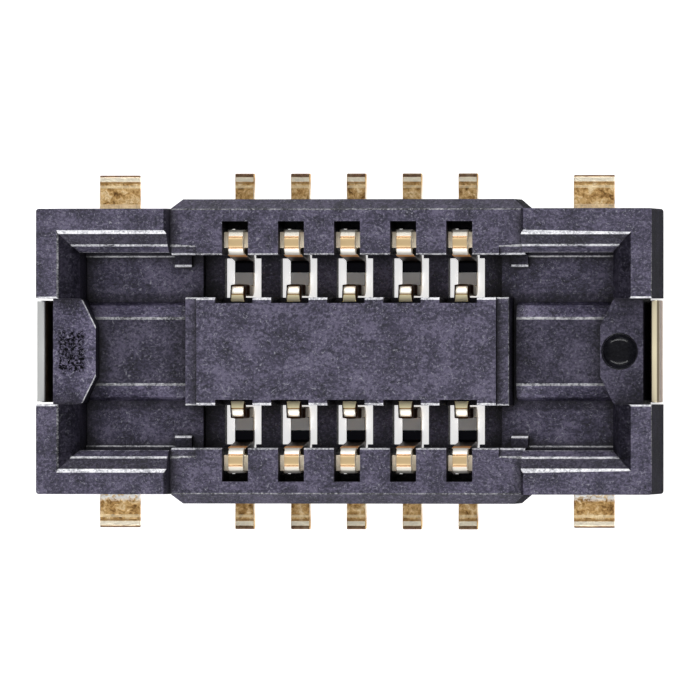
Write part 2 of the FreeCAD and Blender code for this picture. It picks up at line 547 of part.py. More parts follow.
def make_contact(label, place, turned):
    """One contact: a narrow plated strip bent into tail, folded leg, trough and spring arm.

    It is drawn for the row on the +Y side, and turned half round for the other row.
    """
    body = doc.addObject("PartDesign::Body", label)
    half = "sizes.strip_thickness / 2"
    fold = f"({FOLD_RADIUS} - {half})"
    leg = f"({FOLD_MIDDLE} + {fold})"
    tail_radius = f"(sizes.tail_bend + {half})"
    trough_radius = f"(sizes.trough_bend + {half})"
    bump_radius = f"(sizes.bump_bend + {half})"
    trough_height = f"(sizes.trough_clearance + {half} + {trough_radius})"
    bump_middle = (f"({ISLAND_SIDE} + sizes.bump_reach - {half} - {bump_radius})",
                   f"(sizes.bump_height - {half} - {bump_radius})")

    path = sketch_on(body, "YZ_Plane", f"{label}_path")
    strip_path(path, (TAIL_TIP, half), [
        ((f"({leg} + {tail_radius})", f"({half} + {tail_radius})"), tail_radius, -1),
        ((FOLD_MIDDLE, f"(sizes.crest_height - {FOLD_RADIUS})"), fold, 1),
        ((f"({ISLAND_SIDE} + sizes.heel_offset)", trough_height), trough_radius, -1),
        ((f"({ISLAND_SIDE} + sizes.toe_offset)", trough_height), trough_radius, -1),
        (bump_middle, bump_radius, 1),
    ], (f"{ISLAND_SIDE} - sizes.tip_inset", None))
    section = sketch_on(body, "XZ_Plane", f"{label}_section", f"-{TAIL_TIP}")
    rectangle(section, "-sizes.strip_width / 2", "sizes.strip_width / 2",
              "0", "sizes.strip_thickness")
    bent_strip(body, f"{label}_strip", path, section)

    # The strip is narrower at its fold, and at its tip, which tapers to the front.
    plan = sketch_on(body, "XY_Plane", f"{label}_trim_plan", f"sizes.crest_height + {OVERRUN}")
    outside = f"(sizes.strip_width / 2 + {OVERRUN})"
    for sign in ("", "-"):
        rectangle(plan, f"{sign}sizes.crest_width / 2", f"{sign}{outside}",
                  f"{FOLD_MIDDLE} - {FOLD_RADIUS} - sizes.press_clearance",
                  f"{FOLD_MIDDLE} + {FOLD_RADIUS} + sizes.press_clearance")
    pocket(body, plan, f"{label}_crest_trim",
           f"sizes.crest_height + {OVERRUN} - sizes.shoulder_top")
    plan = sketch_on(body, "XY_Plane", f"{label}_tip_plan", f"sizes.bump_height + {OVERRUN}")
    front = f"({ISLAND_SIDE} + sizes.bump_reach)"
    back = f"({ISLAND_SIDE} - sizes.notch_depth)"
    for sign in ("", "-"):
        outline(plan, [
            (f"{sign}sizes.tip_width / 2", back),
            (f"{sign}sizes.tip_width / 2", f"{front} - sizes.tip_nose_length"),
            (f"{sign}sizes.tip_nose_width / 2", front),
            (f"{sign}sizes.tip_nose_width / 2", f"{front} + {OVERRUN}"),
            (f"{sign}{outside}", f"{front} + {OVERRUN}"),
            (f"{sign}{outside}", back),
        ])
    pocket(body, plan, f"{label}_tip_trim", f"{OVERRUN} + {half} + 2 * {bump_radius}")

    # Shoulders on the outer leg and across the fold press against the sides of the slot.
    section = sketch_on(body, "YZ_Plane", f"{label}_shoulder_section")
    shoulder_back = f"({LEG_BACK} - sizes.shoulder_setback)"
    leg_front = f"({LEG_BACK} - sizes.strip_thickness)"
    outline(section, [
        (shoulder_back, "sizes.shoulder_top"),
        (f"{shoulder_back} - sizes.shoulder_length", "sizes.shoulder_top"),
        (f"{shoulder_back} - sizes.shoulder_length",
         "sizes.shoulder_top - sizes.fold_shoulder_height"),
        (leg_front, "sizes.shoulder_top - sizes.fold_shoulder_height"),
        (leg_front, "sizes.shoulder_bottom"),
        (shoulder_back, "sizes.shoulder_bottom"),
    ])
    pad(body, section, f"{label}_shoulders",
        "sizes.slot_width - 2 * sizes.press_clearance", symmetric=True)

    bind(body, "Placement.Base.x", f"{place} * sizes.contact_pitch - {LAST_CONTACT}")
    if turned:
        body.Placement.Rotation = FreeCAD.Rotation(FreeCAD.Vector(0, 0, 1), 180)
    return body


def make_hold_down(label, turned):
    """One hold-down: a flat base with two solder tabs, bent up into a plate at the end face.

    It is drawn for the +X end, and turned half round for the other end.
    """
    body = doc.addObject("PartDesign::Body", label)
    half = "sizes.plate_thickness / 2"
    plan = sketch_on(body, "XY_Plane", f"{label}_base_plan")
    left = f"({TAB_MIDDLE} - sizes.tab_width / 2)"
    right = f"({TAB_MIDDLE} + sizes.tab_width / 2)"
    rectangle(plan, left, right, f"-{TAB_TIP}", TAB_TIP)
    pad(body, plan, f"{label}_base", "sizes.plate_thickness")

    # The tongue runs out to the end and bends up into the upright plate.
    path = sketch_on(body, "XZ_Plane", f"{label}_path")
    radius = f"(sizes.upright_bend + {half})"
    strip_path(path, (TAB_MIDDLE, half), [
        ((UPRIGHT_FOOT, f"({half} + {radius})"), radius, 1),
    ], (f"{UPRIGHT_TOP_FACE} - {half}", "sizes.upright_height"))
    section = sketch_on(body, "YZ_Plane", f"{label}_section", TAB_MIDDLE)
    rectangle(section, "-sizes.upright_half_width", "sizes.upright_half_width",
              "0", "sizes.plate_thickness")
    bent_strip(body, f"{label}_upright", path, section)

    # The ends of the tabs are bevelled along their top edges.
    bevel = sketch_on(body, "YZ_Plane", f"{label}_tab_bevel_section")
    for sign in ("", "-"):
        outline(bevel, [
            (f"{sign}({TAB_TIP} - sizes.tab_tip_bevel)", "sizes.plate_thickness"),
            (f"{sign}{TAB_TIP}", "sizes.plate_thickness - sizes.tab_tip_bevel"),
            (f"{sign}{TAB_TIP}", "sizes.plate_thickness"),
        ])
    pocket(body, bevel, f"{label}_tab_bevel", f"2 * {BLOCK_END}", symmetric=True)
    if turned:
        body.Placement.Rotation = FreeCAD.Rotation(FreeCAD.Vector(0, 0, 1), 180)
    return body


pieces = [make_housing()]
for place in range(int(value("sizes.contacts_per_row"))):
    pieces.append(make_contact(f"contact_back_{place + 1}", place, False))
    pieces.append(make_contact(f"contact_front_{place + 1}", place, True))
pieces.append(make_hold_down("hold_down_right", False))
pieces.append(make_hold_down("hold_down_left", True))
doc.recompute()

# Nothing is written unless every feature was built and every piece is one sound solid.
for item in doc.Objects:
    if "Invalid" in item.State or "Error" in item.State:
        raise RuntimeError(f"{item.Name} was not built: {item.State}")
os.makedirs("parts", exist_ok=True)
for piece in pieces:
    shape = piece.Shape
    if shape.isNull() or not shape.isValid() or len(shape.Solids) != 1:
        raise RuntimeError(f"{piece.Label} is not one sound solid")
    shape.exportStep(f"parts/{piece.Label}.step")
    box = shape.BoundBox
    print(f"{piece.Label}: {shape.Volume:.5f} mm3, x {box.XMin:.3f} to {box.XMax:.3f}, "
          f"y {box.YMin:.3f} to {box.YMax:.3f}, z {box.ZMin:.3f} to {box.ZMax:.3f}")
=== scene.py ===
import math

import bmesh
import bpy
import numpy as np
from mathutils import Matrix, Vector


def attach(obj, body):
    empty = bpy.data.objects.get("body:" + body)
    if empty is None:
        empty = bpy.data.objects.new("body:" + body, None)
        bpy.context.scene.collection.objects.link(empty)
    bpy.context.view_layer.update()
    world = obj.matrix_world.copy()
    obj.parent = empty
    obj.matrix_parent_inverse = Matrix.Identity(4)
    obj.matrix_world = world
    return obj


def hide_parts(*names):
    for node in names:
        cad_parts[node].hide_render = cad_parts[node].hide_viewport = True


# A board to board connector, the receptacle half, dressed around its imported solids.
# X runs along the contact rows, Y across them, Z up from the board. Shapes are worked out in
# millimetres, and each mesh is brought to metres at its end.

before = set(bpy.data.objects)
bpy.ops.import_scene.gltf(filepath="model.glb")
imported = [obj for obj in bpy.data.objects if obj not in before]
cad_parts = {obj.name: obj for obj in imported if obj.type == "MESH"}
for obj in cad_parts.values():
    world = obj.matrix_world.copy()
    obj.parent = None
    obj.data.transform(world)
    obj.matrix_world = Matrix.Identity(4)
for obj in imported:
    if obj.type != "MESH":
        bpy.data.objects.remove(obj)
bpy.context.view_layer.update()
MM = 0.001


# THE STAGE. The part is seen from almost straight above and from far off, with the camera
# leaning a little to the +X end, so that this end's outer face just shows. It stands on a
# white floor, between two long lamps that run along its rows.

LEAN = math.radians(7.6)
FAR_OFF = 110.0
SENSOR_WIDTH = 36.0
NEAREST, FARTHEST = 0.001, 10.0
PIXELS = 700
PIXELS_PER_MM = 140.7
# The origin lies this many pixels to the right of the picture's middle, and below it.
ORIGIN_RIGHT, ORIGIN_DOWN = 7.4, 1.4

right = Vector((math.cos(LEAN), 0.0, -math.sin(LEAN)))
up = Vector((0.0, 1.0, 0.0))
back = right.cross(up)
camera_data = bpy.data.cameras.new("camera")
camera_data.sensor_width = SENSOR_WIDTH
camera_data.lens = PIXELS_PER_MM * FAR_OFF * SENSOR_WIDTH / PIXELS
camera_data.clip_start, camera_data.clip_end = NEAREST, FARTHEST
camera = bpy.data.objects.new("camera", camera_data)
aside = (up * ORIGIN_DOWN - right * ORIGIN_RIGHT) / PIXELS_PER_MM
camera.location = (back * FAR_OFF + aside) * MM
camera.rotation_euler = Matrix((right, up, back)).transposed().to_euler()
bpy.context.scene.collection.objects.link(camera)
bpy.context.scene.camera = camera
bpy.context.scene.view_settings.view_transform = "Standard"


def surface(name, points, faces, smooth=True):
    """A mesh object from an array of points in millimetres and a list or array of faces."""
    mesh = bpy.data.meshes.new(name)
    mesh.from_pydata(np.asarray(points, float) * MM, [], [tuple(face) for face in faces])
    mesh.update()
    mesh.polygons.foreach_set("use_smooth", np.full(len(mesh.polygons), smooth))
    made = bpy.data.objects.new(name, mesh)
    bpy.context.scene.collection.objects.link(made)
    return made


def node(tree, kind, **inputs):
    """A shader node with the named sockets set, a space written as an underscore."""
    made = tree.nodes.new(kind)
    for key, value in inputs.items():
        made.inputs[key.replace("_", " ")].default_value = value
    return made


FLOOR_HALF = 400.0
FLOOR_GAP = 0.002
FLOOR_COLOUR = (0.86, 0.86, 0.86, 1.0)
FLOOR_GLOW = 0.70

corners = np.array([(-1, -1), (1, -1), (1, 1), (-1, 1)]) * FLOOR_HALF
floor = surface("floor", np.column_stack([corners, np.full(4, -FLOOR_GAP)]), [(0, 1, 2, 3)], False)
white = bpy.data.materials.new("white_floor")
white.use_nodes = True
tree = white.node_tree
tree.nodes.clear()
matt = node(tree, "ShaderNodeBsdfDiffuse", Color=FLOOR_COLOUR)
glow = node(tree, "ShaderNodeEmission", Strength=FLOOR_GLOW)
path = node(tree, "ShaderNodeLightPath")
seen = node(tree, "ShaderNodeMath")
seen.operation = "MAXIMUM"
tree.links.new(path.outputs["Is Camera Ray"], seen.inputs[0])
tree.links.new(path.outputs["Is Glossy Ray"], seen.inputs[1])
lit = node(tree, "ShaderNodeAddShader")
mix = node(tree, "ShaderNodeMixShader")
out = node(tree, "ShaderNodeOutputMaterial")
tree.links.new(matt.outputs[0], lit.inputs[0])
tree.links.new(glow.outputs[0], lit.inputs[1])
tree.links.new(seen.outputs[0], mix.inputs[0])
tree.links.new(matt.outputs[0], mix.inputs[1])
tree.links.new(lit.outputs[0], mix.inputs[2])
tree.links.new(mix.outputs[0], out.inputs["Surface"])
floor.data.materials.append(white)

room = bpy.data.worlds.new("room")
bpy.context.scene.world = room
room.use_nodes = True
tree = room.node_tree
tree.nodes.clear()


def graded(tree, value, points):
    """A number read off a smooth row of (place, height) points, no higher than one."""
    made = tree.nodes.new("ShaderNodeFloatCurve")
    curve = made.mapping.curves[0]
    curve.points[0].location, curve.points[-1].location = points[0], points[-1]
    for place in points[1:-1]:
        curve.points.new(*place)
    for point in curve.points:
        point.handle_type = "AUTO_CLAMPED"
    made.mapping.update()
    tree.links.new(value, made.inputs["Value"])
    return made.outputs["Value"]


def reckoned(tree, kind, *values):
    """The result of one step of arithmetic on numbers, each a socket or a plain number."""
    made = tree.nodes.new("ShaderNodeMath")
    made.operation = kind
    for socket, value in zip(made.inputs, values):
        if isinstance(value, float):
            socket.default_value = value
        else:
            tree.links.new(value, socket)
    return made.outputs[0]


# The room is bright low down on both long sides, dim at both ends, and a little brighter right
# overhead than around it. Its strength follows the ray's own direction: each list pairs the
# length of the direction's part along one axis with a share of the light.
ROOM_LIGHT = 2.0
ALONG_Y = [(0.0, 0.38), (0.5, 0.38), (0.80, 0.50), (0.88, 0.95), (1.0, 1.0)]
ALONG_Z = [(0.0, 0.9), (0.90, 0.9), (0.985, 1.0), (1.0, 1.0)]
ALONG_X = [(0.0, 1.0), (0.45, 1.0), (0.9, 0.22), (1.0, 0.20)]
heading = node(tree, "ShaderNodeTexCoord").outputs["Generated"]
split = node(tree, "ShaderNodeSeparateXYZ")
tree.links.new(heading, split.inputs[0])
sideways = graded(tree, reckoned(tree, "ABSOLUTE", split.outputs["Y"]), ALONG_Y)
overhead = graded(tree, split.outputs["Z"], ALONG_Z)
endways = graded(tree, reckoned(tree, "ABSOLUTE", split.outputs["X"]), ALONG_X)
strength = reckoned(tree, "MULTIPLY", reckoned(tree, "MULTIPLY", sideways, overhead),
                    reckoned(tree, "MULTIPLY", endways, ROOM_LIGHT))
soft = node(tree, "ShaderNodeBackground")
tree.links.new(strength, soft.inputs["Strength"])
backdrop = node(tree, "ShaderNodeBackground", Strength=1.0)
path = node(tree, "ShaderNodeLightPath")
mix = node(tree, "ShaderNodeMixShader")
out = node(tree, "ShaderNodeOutputWorld")
tree.links.new(path.outputs["Is Camera Ray"], mix.inputs[0])
tree.links.new(soft.outputs[0], mix.inputs[1])
tree.links.new(backdrop.outputs[0], mix.inputs[2])
tree.links.new(mix.outputs[0], out.inputs["Surface"])

# Two lamps alike, each with its name and its turn about Z in degrees.
LAMPS = [("lamp_front", 0.0), ("lamp_back", 180.0)]
LAMP_FAR = 60.0
LAMP_RISE = math.radians(34.0)
LAMP_LONG, LAMP_WIDE = 90.0, 7.0
LAMP_BRIGHT = 12.5

for name, degrees in LAMPS:
    lamp = bpy.data.lights.new(name, "AREA")
    lamp.shape = "RECTANGLE"
    lamp.size, lamp.size_y = LAMP_LONG * MM, LAMP_WIDE * MM
    lamp.energy = LAMP_BRIGHT * math.pi * LAMP_LONG * LAMP_WIDE * MM * MM
    holder = bpy.data.objects.new(name, lamp)
    turn = math.radians(degrees)
    away = Vector((math.sin(turn) * math.cos(LAMP_RISE), -math.cos(turn) * math.cos(LAMP_RISE),
                   math.sin(LAMP_RISE)))
    holder.location = away * LAMP_FAR * MM
    holder.rotation_euler = away.to_track_quat("Z", "Y").to_euler()
    holder.visible_camera = False
    bpy.context.scene.collection.objects.link(holder)


# THE HOUSING. One moulding in black glass-filled resin, with a faint violet cast and a
# mottled skin. The mould leaves its outer edges sharp, and the inner ones, which guide the
# mating half, rounded, with painted highlights: pale, broken lines in their colour.

BLOCK_TOP, ISLAND_TOP, BOSS_TOP = 0.770, 0.560, 0.540
STEP_X, END_X, ISLAND_X, MOUTH_X = 1.262, 2.193, 1.154, -2.044
EDGE_ROUND = 0.016
SHARP_FROM = math.radians(14)
FLAT_WITHIN = math.radians(0.6)
MERGE_WITHIN = 1e-5
SHORTEST_EDGE = 0.020
# How far an edge may be off level, off its height and off its place, and, as a share of its
# length, off the direction of the rows.
LEVEL_WITHIN, HEIGHT_WITHIN, PLACE_WITHIN = 0.004, 0.006, 0.010
STRAIGHT_WITHIN = 0.05
# The rounded edges that run along the rows: their height, how far they lie from the middle
# plane, from and to, how wide they are, as a share of EDGE_ROUND, and how pale their painted
# highlight is.
ROUNDS = [
    (0.770, 0.80, 0.90, 0.95, 1.20),
    (0.770, 0.36, 0.39, 0.8, 1.15),
    (0.704, 0.70, 0.80, 0.7, 1.00),
    (0.625, 0.69, 0.71, 0.35, 0.70),
    (0.560, 0.67, 0.76, 0.7, 0.90),
    (0.560, 0.90, 0.94, 0.5, 1.00),
    (0.560, 0.97, 1.01, 0.35, 0.60),
    (0.620, 0.37, 0.39, 1.1, 1.10),
    (0.560, 0.37, 0.39, 0.7, 1.00),
    (0.495, 0.67, 0.70, 1.2, 1.10),
    (0.360, 0.20, 0.26, 0.6, 0.90),
    (0.330, 0.55, 0.63, 1.0, 1.20),
    (0.310, 0.64, 0.70, 0.7, 0.80),
    (0.540, 0.17, 0.37, 0.5, 1.00),
]
# The rounded edges that run across the rows: their height, their place along the rows and how
# near to it they lie, and how wide they are.
CROSS_ROUNDS = [
    (BLOCK_TOP, -STEP_X, 0.01, 1.20),
    (BLOCK_TOP, STEP_X, 0.01, 1.20),
    (BLOCK_TOP, END_X, 0.03, 0.40),
    (BLOCK_TOP, MOUTH_X, 0.01, 0.15),
    (ISLAND_TOP, ISLAND_X, 0.01, 0.35),
]
# The rim of the -X boss, along the rows and across them: its place from and to, and its round.
RIM_FROM, RIM_TO, RIM_SHARE = -2.0, -1.8, 0.5


def round_share(first, second):
    """How wide the round of an edge is, as a share of EDGE_ROUND, from the edge's two ends.

    Only level edges are rounded. An edge runs along the rows if it moves across them by less
    than STRAIGHT_WITHIN of its length.
    """
    run = second - first
    if run.length < SHORTEST_EDGE or abs(run.z) >= LEVEL_WITHIN:
        return 0.0
    along_rows = abs(run.y) < STRAIGHT_WITHIN * run.length
    height, away = (first.z + second.z) / 2, abs(first.y + second.y) / 2
    if abs(height - BOSS_TOP) < PLACE_WITHIN and RIM_FROM < (first.x + second.x) / 2 < RIM_TO:
        return RIM_SHARE
    if not along_rows:
        for level_at, place, near, share in CROSS_ROUNDS:
            if abs(height - level_at) < PLACE_WITHIN and abs(first.x - place) < near:
                return share
        return 0.0
    for level_at, nearest, farthest, share, _ in ROUNDS:
        if abs(height - level_at) < HEIGHT_WITHIN and nearest < away < farthest:
            return share
    return 0.0


def moulded(name, source):
    """A copy of a solid's triangles, in millimetres, merged into flat faces and edge-rounded.

    An edge is rounded where its two faces turn away from each other by more than SHARP_FROM,
    and the faces of the rounds take the second material.
    """
    shape = bmesh.new()
    shape.from_mesh(source.data)
    bmesh.ops.scale(shape, vec=Vector((1, 1, 1)) / MM, verts=shape.verts)
    bmesh.ops.remove_doubles(shape, verts=shape.verts, dist=MERGE_WITHIN)
    bmesh.ops.dissolve_limit(shape, angle_limit=FLAT_WITHIN, verts=shape.verts,
                             edges=shape.edges)
    for face in shape.faces:
        face.smooth = False
    shape.normal_update()
    weight = shape.edges.layers.float.new("bevel_weight_edge")
    for edge in shape.edges:
        if len(edge.link_faces) == 2 and edge.is_convex and edge.calc_face_angle() > SHARP_FROM:
            edge[weight] = round_share(edge.verts[0].co, edge.verts[1].co)
    mesh = bpy.data.meshes.new(name)
    shape.to_mesh(mesh)
    shape.free()
    rough = bpy.data.objects.new(name, mesh)
    bpy.context.scene.collection.objects.link(rough)
    bevel = rough.modifiers.new("rounds", "BEVEL")
    bevel.limit_method = "WEIGHT"
    bevel.offset_type = "OFFSET"
    bevel.width = EDGE_ROUND
    bevel.segments = 2
    bevel.material = 1
    bevel.use_clamp_overlap = False
    mesh.materials.append(None)
    mesh.materials.append(None)
    bpy.context.view_layer.update()
    done = bpy.data.meshes.new_from_object(
        rough.evaluated_get(bpy.context.evaluated_depsgraph_get()))
    rough.modifiers.clear()
    rough.data = done
    bpy.data.meshes.remove(mesh)
    done.name = name
    done.transform(Matrix.Scale(MM, 4))
    return rough


def noise(tree, where, scale, detail, roughness=0.55, distortion=0.0):
    """A noise texture on coordinates that are already there."""
    made = node(tree, "ShaderNodeTexNoise", Scale=scale, Detail=detail, Roughness=roughness,
                Distortion=distortion)
    tree.links.new(where, made.inputs["Vector"])
    return made.outputs["Fac"]


def stretched(tree, where, scale):
    """Coordinates stretched by a scale along each axis."""
    made = node(tree, "ShaderNodeMapping", Scale=scale)
    tree.links.new(where, made.inputs["Vector"])
    return made.outputs["Vector"]


def blend_of(tree, share, first, second):
    """A number between two others, each a socket or a number, by a share."""
    made = node(tree, "ShaderNodeMix")
    for socket, value in zip(("Factor", "A", "B"), (share, first, second)):
        if isinstance(value, float):
            made.inputs[socket].default_value = value
        else:
            tree.links.new(value, made.inputs[socket])
    return made.outputs["Result"]


def ramp(tree, share, stops):
    """Colours laid along a share, as pairs of a place and a colour or a grey."""
    made = node(tree, "ShaderNodeValToRGB")
    while len(made.color_ramp.elements) < len(stops):
        made.color_ramp.elements.new(0.5)
    for element, (place, colour) in zip(made.color_ramp.elements, stops):
        element.position = place
        shade = (colour,) * 3 if isinstance(colour, float) else colour
        element.color = (*shade, 1.0)
    tree.links.new(share, made.inputs["Fac"])
    return made.outputs["Color"]


def painted(tree, share, first, second):
    """A colour between two others, each a socket or a colour, by a share."""
    made = tree.nodes.new("ShaderNodeMix")
    made.data_type = "RGBA"
    for socket, value in ((made.inputs[0], share), (made.inputs[6], first),
                          (made.inputs[7], second)):
        if isinstance(value, float):
            socket.default_value = value
        elif isinstance(value, tuple):
            socket.default_value = (*value, 1.0)
        else:
            tree.links.new(value, socket)
    return made.outputs[2]


# The rough spot on top of the -X boss: its middle, its half size, the share of that within
# which it is full, and the shade of its pits.
ROUGH_MIDDLE = (-1.975, 0.0)
ROUGH_HALF = (0.160, 0.250)
ROUGH_EDGE = 0.50
PIT_SHADE = (0.002, 0.002, 0.003)
# How far from an inner corner the painted shade reaches.
CORNER_SHADE_REACH = 0.13
# The noises in the resin: scale, detail, roughness and distortion.
CLOUD = (5200.0, 4.0, 0.6)
FLOW = (21000.0, 4.0, 0.65, 1.4)
GRAIN = (52000.0, 3.0, 0.7)
LINES = (15000.0, 1.0, 0.5, 2.2)
FINE_PITS = (62000.0, 2.0, 0.6)
FLOW_STRETCH = (1.0, 1.8, 1.0)


def resin(name, dark, middle, light, fleck, smooth, matt, relief, gloss=1.0, patchy=0.0,
          even=False):
    """Moulded resin: flow marks and grain mottle the colour, the roughness and a shallow relief.

    Short pale flecks lie where a slow noise crosses its middle and a finer one is high. The
    face's painted light and shade, an attribute, scales the colour and shifts its mottle by
    patchy, and an ambient occlusion darkens the colour in the inner corners as painted shade. A
    gloss of one is the shader's usual level, a half. It follows the painted shading up to one,
    unless it is even. The top of the -X boss comes from a rougher spot of the mould, with dark
    pits, which an even resin lacks.
    """
    made = bpy.data.materials.new(name)
    made.use_nodes = True
    tree = made.node_tree
    shader = tree.nodes["Principled BSDF"]
    shader.inputs["IOR"].default_value = 1.5
    where = node(tree, "ShaderNodeTexCoord").outputs["Object"]
    cloud = noise(tree, where, *CLOUD)
    flow = noise(tree, stretched(tree, where, FLOW_STRETCH), *FLOW)
    grain = noise(tree, where, *GRAIN)
    lines = noise(tree, where, *LINES)
    painted_shading = node(tree, "ShaderNodeAttribute")
    painted_shading.attribute_name = "painted_shading"
    painted_shading = painted_shading.outputs["Fac"]
    mottle = blend_of(tree, 0.68, cloud, blend_of(tree, 0.5, flow, grain))
    mottle = reckoned(tree, "ADD", mottle, reckoned(
        tree, "MULTIPLY", reckoned(tree, "SUBTRACT", painted_shading, 1.0), patchy))
    colour = ramp(tree, mottle, [(0.40, dark), (0.49, middle), (0.57, light)])
    lines = reckoned(tree, "MULTIPLY", ramp(tree, lines, [(0.478, 0.0), (0.5, 1.0), (0.522, 0.0)]),
                     ramp(tree, grain, [(0.47, 0.0), (0.57, 1.0)]))
    colour = painted(tree, lines, colour, fleck)
    height = blend_of(tree, 0.5, flow, grain)
    if even:
        shader.inputs["Specular IOR Level"].default_value = 0.5 * gloss
    else:
        split = node(tree, "ShaderNodeSeparateXYZ")
        tree.links.new(where, split.inputs[0])
        rough = reckoned(tree, "COMPARE", split.outputs["Z"], BOSS_TOP * MM, 0.02 * MM)
        for axis, middle_at, half in zip("XY", ROUGH_MIDDLE, ROUGH_HALF):
            out_of = reckoned(tree, "ABSOLUTE", reckoned(tree, "SUBTRACT", split.outputs[axis],
                                                         middle_at * MM))
            edge = node(tree, "ShaderNodeMapRange", From_Min=half * MM,
                        From_Max=half * ROUGH_EDGE * MM)
            tree.links.new(out_of, edge.inputs["Value"])
            rough = reckoned(tree, "MULTIPLY", rough, edge.outputs["Result"])
        pits = reckoned(tree, "MULTIPLY", rough, noise(tree, where, *FINE_PITS))
        pits = ramp(tree, pits, [(0.42, 0.0), (0.56, 1.0)])
        colour = painted(tree, pits, colour, PIT_SHADE)
        height = reckoned(tree, "SUBTRACT", height, pits)
        shine = reckoned(tree, "MULTIPLY", reckoned(tree, "MINIMUM", painted_shading, 1.0),
                         reckoned(tree, "SUBTRACT", 1.0, reckoned(tree, "MULTIPLY", pits, 0.9)))
        tree.links.new(reckoned(tree, "MULTIPLY", shine, 0.5 * gloss),
                       shader.inputs["Specular IOR Level"])
    toned = tree.nodes.new("ShaderNodeVectorMath")
    toned.operation = "SCALE"
    tree.links.new(colour, toned.inputs[0])
    # Painted shade: the colour darkens in the inner corners, by ambient occlusion.
    corner = node(tree, "ShaderNodeAmbientOcclusion", Distance=CORNER_SHADE_REACH * MM)
    corner.samples = 8
    corner.only_local = True
    corner_shade = ramp(tree, corner.outputs["AO"], [(0.45, 0.12), (0.92, 1.0)])
    tree.links.new(reckoned(tree, "MULTIPLY", painted_shading, corner_shade), toned.inputs["Scale"])
    tree.links.new(toned.outputs[0], shader.inputs["Base Color"])
    tree.links.new(ramp(tree, flow, [(0.36, smooth), (0.62, matt)]), shader.inputs["Roughness"])
    bump = node(tree, "ShaderNodeBump", Strength=0.9, Distance=relief * MM)
    tree.links.new(height, bump.inputs["Height"])
    tree.links.new(bump.outputs["Normal"], shader.inputs["Normal"])
    return made


housing = moulded("housing_moulding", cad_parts["housing"])
DARK, MIDDLE, LIGHT = (0.012, 0.011, 0.021), (0.043, 0.038, 0.070), (0.112, 0.099, 0.158)
FLECK = (0.26, 0.26, 0.30)
# The rounds' colours are painted highlights: pale, broken lines along the inner edges.
EDGE_HIGHLIGHT_DARK, EDGE_HIGHLIGHT_MIDDLE, EDGE_HIGHLIGHT_LIGHT = (0.06, 0.06, 0.07), (0.40, 0.40, 0.44), (0.76, 0.76, 0.79)
EDGE_HIGHLIGHT_FLECK = (0.80, 0.80, 0.82)
SIDE_GLOSS = 0.0525
housing.data.materials[0] = resin("black_resin", DARK, MIDDLE, LIGHT, FLECK, smooth=0.44,
                                  matt=0.68, relief=0.006, gloss=0.90)
housing.data.materials[1] = resin("black_resin_edges_painted_highlight", EDGE_HIGHLIGHT_DARK, EDGE_HIGHLIGHT_MIDDLE, EDGE_HIGHLIGHT_LIGHT,
                                  EDGE_HIGHLIGHT_FLECK, smooth=0.22, matt=0.42, relief=0.004, patchy=0.16)
# The sides outside take a shaded copy of the resin: darker colours as painted shade, and little
# gloss.
housing.data.materials.append(resin("black_resin_sides_painted_shade", DARK, DARK, MIDDLE, LIGHT, smooth=0.70,
                                    matt=0.85, relief=0.006, gloss=SIDE_GLOSS, even=True))

# Each face's middle and normal, and the slot of its material: the flat skin, the edges with
# painted highlights or the sides outside in painted shade.
SKIN, EDGES, SIDES = 0, 1, 2
OUTER_X, OUTER_Y = 2.185, 1.005
UPRIGHT_UNDER, SLOPE_OVER, FLAT_OVER = 0.2, 0.3, 0.95
places = np.zeros(len(housing.data.polygons) * 3, np.float32)
normals = np.zeros(len(housing.data.polygons) * 3, np.float32)
slots = np.zeros(len(housing.data.polygons), np.int32)
housing.data.polygons.foreach_get("center", places)
housing.data.polygons.foreach_get("normal", normals)
housing.data.polygons.foreach_get("material_index", slots)
places, normals = places.reshape(-1, 3) / MM, normals.reshape(-1, 3)
minus_end, places = places[:, 0] < 0, np.abs(places)
outside = (places[:, 0] > OUTER_X) | (places[:, 1] > OUTER_Y)
slots[outside & (np.abs(normals[:, 2]) < UPRIGHT_UNDER)] = SIDES
endways_facing = np.abs(normals[:, 0]) > 0.1
step = (np.abs(places[:, 0] - STEP_X) < 0.03) & (np.abs(normals[:, 1]) < 0.1)
slots[(slots == EDGES) & step & (places[:, 2] > 0.7)] = SKIN
housing.data.polygons.foreach_set("material_index", slots)

# The painted light and shade of each face, a factor on its colour, one where nothing else is
# said. The lead-in slopes, the throats, the shoulders' slopes, the sides outside, the tops of
# the ledges and plateaus and the +X boss are painted darker, and what faces the ends darkest.
# The floors of the grooves and pockets and the -X boss are painted paler, and the plateaus'
# slopes, low down, palest.
LEAD_IN_TONE, THROAT_TONE, SHOULDER_TONE, PLATEAU_TONE = 0.50, 0.85, 0.60, 1.90
SIDE_TONE, ENDWARD_PAINTED_SHADE, ENDWARD_EDGE_PAINTED_SHADE = 0.35, 0.24, 0.60
MINUS_BOSS_TONE, PLUS_BOSS_TONE = 1.50, 0.75
# The floors of the grooves, of the pockets, and of the ledges and plateaus over them: height
# from and to, and the factor of painted light and shade on them.
FLOORS = [(0.10, 0.18, 1.20), (0.24, 0.28, 1.30), (0.30, 0.37, 0.72)]
BOSS_FROM, BOSS_HALF = 1.70, 0.37
ROUND_REACH = 0.02

